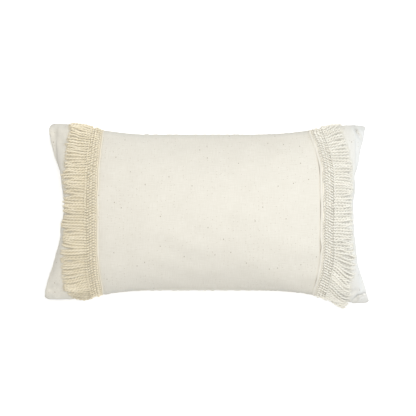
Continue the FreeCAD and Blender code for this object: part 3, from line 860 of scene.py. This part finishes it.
def make_filling(upper_panel, lower_panel, name, cad):
    upper, cloth = shrunk(upper_panel, FILLING_INSET, FILLING_DEPTH)
    lower, _ = shrunk(lower_panel, FILLING_INSET, FILLING_DEPTH)
    piece = finish_piece(shell(name, upper, lower, cloth), FIBRE, "fibre_filling", cad)
    return piece


front = Panel(1)
back = Panel(-1)
make_cover(front, "front_cover", "front_panel")
make_cover(back, "back_cover", "back_panel")
make_ticking(front, "insert_front", "insert_front_panel")
make_ticking(back, "insert_back", "insert_back_panel")
make_filling(front, back, "fibre_fill", "fibre_filling")


def seam_line(u, v, inset):
    """Points in the seam plane, inset in from the seam."""
    x, y = plan(u, v)
    x = x - np.sign(x) * inset * (np.abs(u) > 0.999)
    y = y - np.sign(y) * inset * (np.abs(v) > 0.999)
    return np.stack([x, y, SEAM_Z - tip_droop(x, y)], -1)


def seam_sides(inset, gap):
    """The seam's four sides as lines of points, with a gap around the zipper unless gap is 0."""
    run = np.linspace(-0.97, 0.97, 400)
    one = np.ones_like(run)
    lines = [seam_line(-one, run, inset), seam_line(one, run, inset), seam_line(run, one, inset)]
    for part in (run[run < -gap], run[run > gap]) if gap else (run,):
        lines.append(seam_line(part, -np.ones_like(part), inset))
    return lines


for name, inset, gap, cad in (
    ("cover_seam_stitching", 5 * MM, SLOT_HALF / FLAT_X + 0.03, "cover_seam_thread"),
    ("insert_seam_stitching", 16 * MM, 0, "insert_seam_thread"),
):
    yarns = Yarns()
    for line in seam_sides(inset, gap):
        up = np.broadcast_to([0.0, 0.0, 1.0], line.shape)
        stitch_row(yarns, line, up, length=2.8 * MM, gap=0.4 * MM, radius=0.22 * MM)
    finish_piece(yarns.make(name), THREAD, "sewing_thread", cad)


# ---------------------------------------------------------------- trims


def on_trim(side, s, t, lift):
    """Points above the front panel, s from a trim's inner edge and t across the pillow."""
    v = t / FLAT_Y
    return front.at(side * (trim_edge(side, np.clip(v, -1, 1)) + s / FLAT_X), v, lift)


def make_tape(side, name, cad):
    """The woven tape: a rolled inner selvedge, a sewn groove and fine ribs."""
    selvedge = np.linspace(0, 6 * MM, 22)
    rest = np.linspace(6.8 * MM, TAPE_WIDTH - 0.5 * MM, 18)
    s = np.concatenate([selvedge, rest, [TAPE_WIDTH]])
    t = np.linspace(-TRIM_HALF, TRIM_HALF, 560)
    ss, tt = np.meshgrid(s, t, indexing="ij")
    edge = np.minimum(ss, TAPE_WIDTH - ss)
    ribs = 0.2 * MM * np.cos(2 * math.pi * tt / RIB_PITCH)
    ribs = ribs * ease((8 * MM - ss) / (1 * MM)) * ease(ss / (1.5 * MM))
    roll = 1.0 * MM * np.exp(-(((ss - 1.3 * MM) / (0.9 * MM)) ** 2))
    groove = 0.75 * MM * np.exp(-(((ss - TAPE_GROOVE) / (0.6 * MM)) ** 2))
    gap = TAPE_LOW + TAPE_LIFT[side] * np.exp(-ss / (1.8 * MM))
    wander = 0.5 * MM * smooth_noise(0 * tt, tt / FLAT_Y, 40 * MM, 20 + side) * np.exp(-ss / (4 * MM))
    upper = gap + (TAPE_HIGH - TAPE_LOW) * np.sqrt(np.clip(edge / (0.6 * MM), 0, 1)) + ribs + roll - groove
    top = on_trim(side, ss + wander, tt, np.maximum(upper, gap + 0.15 * MM))[0]
    low = on_trim(side, ss + wander, tt, gap)[0]
    piece = shell(name, top, low, np.stack([ss, tt], -1))
    return finish_piece(piece, TAPE_CLOTH[side], "trim_cotton", cad)


def loop_row(yarns, side, s0, lift, size, turn, seed):
    """A row of crocheted loops along the trim, one to each cord.

    Its size is the loops' half width, slant and half height and the yarn's radius.
    """
    wide, slant, high, radius = size
    phase = np.linspace(0, 2 * math.pi * CORD_COUNT, CORD_COUNT * 16)
    middle = (phase / (2 * math.pi * CORD_COUNT) * 2 - 1) * (TRIM_HALF - 2 * MM)
    uneven = smooth_noise(0 * middle, middle / FLAT_Y, 9 * MM, seed)
    wander = 0.3 * MM * smooth_noise(0 * middle, middle / FLAT_Y, 30 * MM, seed + 1)
    angle = phase + turn
    rise = np.sin(angle)
    s = s0 + wander + wide * (1 + 0.12 * uneven) * np.cos(angle)
    t = middle + slant * np.cos(angle) + 0.3 * MM * uneven
    path, up = on_trim(side, s, t, lift + high * rise + 0.25 * MM * uneven)
    # raised follows the loop's rise, so the yarn material paints shade on the lower half of each loop.
    yarns.add(path, up, radius * (1 + 0.1 * uneven) * (1 + 0.15 * rise), 7, 0.5 + 0.5 * rise)


def make_braid(side, name, cad):
    """Three crocheted rows between two rows of smaller loops; the outer one binds the fringe."""
    yarns = Yarns()
    lift = TAPE_HIGH + LOOP_RADIUS + LOOP_HIGH
    for row, s0 in enumerate(BRAID_ROWS):
        size = (LOOP_WIDE, LOOP_SLANT * (-1) ** row, LOOP_HIGH, LOOP_RADIUS)
        loop_row(yarns, side, s0, lift, size, turn=math.pi * row, seed=30 + row + 5 * side)
    loop_row(yarns, side, BINDING_ROW, TAPE_HIGH + 4.4 * MM, BINDING_SIZE, turn=0.5, seed=50 + side)
    loop_row(yarns, side, LOW_ROW, TAPE_HIGH + 1.2 * MM, LOW_SIZE, turn=1.5, seed=60 + side)
    return finish_piece(yarns.make(name), YARN[side], "trim_cotton", cad)


def fall(place, start, full):
    """0 up to place = start and 1 from place = full on."""
    return float(ease((place - start) / (full - start)))


def cord_path(side, place, q, dice):
    """One fringe cord in the trim's coordinates at shares q of its length: s, t and height.

    Its place runs from -1 at the lower end of the trim to 1 at the upper end.
    """
    # Its reach: longer in the left trim's tufts and over the lower half, shorter at its lower end.
    reach = CORD_END[side] + dice.normal(0, 1.4) * MM
    tuft = 0.0
    if side < 0:
        for middle, width in TUFTS:
            tuft += math.exp(-(((place - middle) / width) ** 2))
        reach += 8 * MM * tuft + 5 * MM * fall(-place, 0.15, 0.4) - 12 * MM * fall(-place, 0.88, 1.0)
    else:
        reach += 5 * MM * fall(-place, 0.25, 0.5)
    s = CORD_START + (reach - CORD_START) * q

    # Its way along the trim: it wanders, fans out at the upper end and hangs over at the lower end.
    swing = smooth_noise(np.array([0.0]), np.array([place]), 38 * MM, 41 + side)[0]
    t = place * TRIM_HALF + (1.7 * swing + dice.normal(0, 0.9)) * MM * q**1.5
    t = t + dice.normal(0, 1.5) * MM * np.sin(q * math.pi * dice.uniform(1.2, 2.6) + dice.uniform(0, 6)) * q
    fan = {-1: 6 * MM, 1: 12 * MM}[side] * fall(place, 0.55, 0.92)
    if side > 0:
        droop = 26 * MM * fall(-place, 0.28, 0.62) - 10 * MM * fall(-place, 0.85, 1.0)
    else:
        droop = 7 * MM * fall(-place, 0.3, 0.6) - 9 * MM * fall(-place, 0.78, 1.0)
    t = np.minimum(t + (fan - droop) * ease(q) ** 0.85, FLAT_Y)
    s = s - 4 * MM * fall(-place, 0.8, 1.0) * q**2

    # Its height over the cover, which is least at both of its ends.
    layer = dice.uniform(0, 1)
    arch = np.sin(q * math.pi)
    lift = PLY_RADIUS + PLY_OFFSET + 0.2 * MM + 1.1 * MM * layer + 1.4 * MM * dice.uniform(0, 1) * arch
    lift = lift * (0.72 + 0.28 * arch**0.5)
    return s, t, lift + TAPE_HIGH * ease((TAPE_WIDTH + 2 * MM - s) / (3 * MM)) + 1.2 * MM * tuft * q


def make_fringe(side, name, cad):
    """Two-ply cotton cords with frayed ends and stray yarn sunk between them."""
    dice = np.random.default_rng(90 + side)
    yarns = Yarns()
    q = np.linspace(0, 1, CORD_POINTS)
    for place in np.linspace(-1, 1, CORD_COUNT):
        path, up = on_trim(side, *cord_path(side, place, q, dice))
        ahead = unit(np.gradient(path, axis=0))
        across = unit(np.cross(ahead, up))
        out = np.cross(across, ahead)
        along = np.concatenate([[0], np.cumsum(np.linalg.norm(np.diff(path, axis=0), axis=-1))])
        turn = 2 * math.pi * along / (PLY_PITCH * dice.uniform(0.85, 1.2)) + dice.uniform(0, 6)
        loose = (1 + 0.3 * ease((q - 0.85) / 0.15)) * (0.6 + 0.4 * ease(q / 0.08))
        plump = dice.uniform(0.85, 1.15)
        # How much painted shade a cord gets: more or less at random, and most at the lower end of the left
        # fringe, where the cords bunch round the corner.
        tone = dice.uniform(0.78, 1.0)
        if side < 0:
            tone -= 0.45 * fall(-place, 0.84, 0.97)
        thick = PLY_RADIUS * (1 - 0.4 * ease((q - 0.9) / 0.1)) * (0.6 + 0.4 * ease(q / 0.06))
        # Painted shade on each ply where it turns under the other.
        for ply in (0, math.pi):
            round_it = np.cos(turn + ply)[:, None] * across + np.sin(turn + ply)[:, None] * out
            offset = PLY_OFFSET * loose[:, None] * round_it
            yarns.add(path + offset, up, thick * plump, 7, tone * (0.42 + 0.2 * np.sin(turn + ply)))
        k = STRAY_POINTS[side]
        # The stray yarn sunk between the cords carries painted shade.
        for beside in (-0.5, 0.5):
            sunk = path[:k] + across[:k] * beside * CORD_PITCH - up[:k] * (PLY_OFFSET + 0.4 * MM)
            yarns.add(sunk, up[:k], STRAY_RADIUS * (1 - 0.3 * q[:k]), 5, STRAY_RAISED[side])
        for _ in range(FRAYED_FIBRES[side]):
            spread = across[-1] * dice.normal(0, 0.45) + out[-1] * dice.normal(0.05, 0.25)
            length = dice.uniform(3, 7) * MM
            r = np.linspace(0, 1, 5)[:, None]
            root = path[-1] - ahead[-1] * 2 * MM + across[-1] * dice.normal(0, 0.9) * MM
            fibre = root + (ahead[-1] + spread * r) * length * r
            yarns.add(fibre, out[-1], 0.33 * MM * (1 - 0.6 * r[:, 0]), 4)
    return finish_piece(yarns.make(name), YARN[side], "trim_cotton", cad)


def make_trim_stitches(side, name, cad):
    yarns = Yarns()
    t = np.linspace(-TRIM_HALF, TRIM_HALF, 300)
    for s, lift in TAPE_STITCHES:
        line, up = on_trim(side, s + 0 * t, t, lift)
        stitch_row(yarns, line, up, length=2.6 * MM, gap=1.2 * MM, radius=0.26 * MM)
    return finish_piece(yarns.make(name), THREAD, "sewing_thread", cad)


for side, word in ((-1, "left"), (1, "right")):
    tape = make_tape(side, f"{word}_tape", f"{word}_trim_tape")
    braid = make_braid(side, f"{word}_braid", f"{word}_trim_braid")
    fringe = make_fringe(side, f"{word}_fringe", f"{word}_fringe_cords")
    stitches = make_trim_stitches(side, f"{word}_stitches", f"{word}_trim_stitches")


# ---------------------------------------------------------------- zipper

COIL_PITCH = 1.9 * MM


def make_coil(name, cad):
    """A row of nylon coil round a core, as large as the CAD piece that it stands for."""
    low, high = (np.array(corner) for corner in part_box(cad))
    yarns = Yarns()
    turns = (high[0] - low[0]) / COIL_PITCH
    angle = np.linspace(0, 2 * math.pi * turns, int(turns * 14))
    middle = (low + high) / 2
    x = np.linspace(low[0] + 0.4 * MM, high[0] - 0.4 * MM, len(angle))
    half_y = (high[1] - low[1]) / 2 - 0.3 * MM
    half_z = (high[2] - low[2]) / 2 - 0.1 * MM
    path = np.stack([x, middle[1] + half_y * np.sin(angle), middle[2] + half_z * np.cos(angle)], -1)
    yarns.add(path, (1.0, 0.0, 0.0), 0.33 * MM, 6)
    core = np.stack([np.linspace(low[0], high[0], 40), np.full(40, middle[1]), np.full(40, middle[2])], -1)
    yarns.add(core, (0.0, 0.0, 1.0), 0.35 * MM, 6)
    return finish_piece(yarns.make(name), NYLON, "zipper_coil", cad)


make_coil("coil_front", "zipper_coil_front")
make_coil("coil_back", "zipper_coil_back")

for panel, name, cad in ((front, "zip_stitches_front", "zipper_stitches_front"),
                         (back, "zip_stitches_back", "zipper_stitches_back")):
    yarns = Yarns()
    reach = (SLOT_HALF - 2 * MM) / FLAT_X
    u = np.linspace(-reach, reach, 300)
    line, up = panel.at(u, -1 + ZIP_STITCH_IN / FLAT_Y + 0 * u, 0.25 * MM)
    stitch_row(yarns, line, up, length=2.6 * MM, gap=0.9 * MM, radius=0.24 * MM)
    finish_piece(yarns.make(name), THREAD, "sewing_thread", cad)

for names, look in (
    (("zipper_tape_front", "zipper_tape_back"), ZIP_CLOTH),
    (("zipper_top_stops", "zipper_bottom_stop", "zipper_slider", "zipper_pull_tab"), ENAMEL),
):
    for name in names:
        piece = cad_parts[name]
        piece.data.materials.clear()
        piece.data.materials.append(look)


# ---------------------------------------------------------------- studio

FLOOR_HALF = 6
FLOOR_GLOW = 0.36
WORLD_STRENGTH = 0.29
CAMERA_PLACE = (2.8 * MM, 6.4 * MM, 2.37)  # it looks straight down
CAMERA_LENS = 108
CAMERA_SENSOR = 36


def make_floor():
    made, _, _, shader = material("floor_paint", (0.93, 0.93, 0.93), 0.9)
    shader.inputs["Emission Color"].default_value = (1, 1, 1, 1)
    shader.inputs["Emission Strength"].default_value = FLOOR_GLOW
    corners = [(x * FLOOR_HALF, y * FLOOR_HALF, 0) for x, y in ((-1, -1), (1, -1), (1, 1), (-1, 1))]
    floor = new_mesh("floor", corners, [(0, 1, 2, 3)])
    floor.data.materials.append(made)


def make_light(name, place, size, power, color):
    """A round soft light that faces the middle of the floor."""
    light = bpy.data.lights.new(name, "AREA")
    light.shape = "DISK"
    light.size = size
    light.energy = power
    light.color = color
    lamp = bpy.data.objects.new(name, light)
    lamp.location = place
    towards = np.array(place) / np.linalg.norm(place)
    lamp.rotation_euler = (math.acos(towards[2]), 0, math.atan2(towards[1], towards[0]) + math.pi / 2)
    bpy.context.scene.collection.objects.link(lamp)


make_floor()
make_light("soft_key", (0.3, 0.25, 2.8), size=1.6, power=61, color=(1.0, 0.99, 0.965))
make_light("right_fill", (2.2, 0.3, 0.9), size=1.2, power=9, color=(0.7, 0.85, 1.0))
world = bpy.data.worlds.new("studio")
world.use_nodes = True
world.node_tree.nodes["Background"].inputs["Color"].default_value = (1, 1, 1, 1)
world.node_tree.nodes["Background"].inputs["Strength"].default_value = WORLD_STRENGTH
bpy.context.scene.world = world

camera_data = bpy.data.cameras.new("camera")
camera_data.sensor_width = CAMERA_SENSOR
camera_data.lens = CAMERA_LENS
camera = bpy.data.objects.new("camera", camera_data)
camera.location = CAMERA_PLACE
bpy.context.scene.collection.objects.link(camera)
bpy.context.scene.camera = camera
bpy.context.scene.view_settings.view_transform = "Standard"
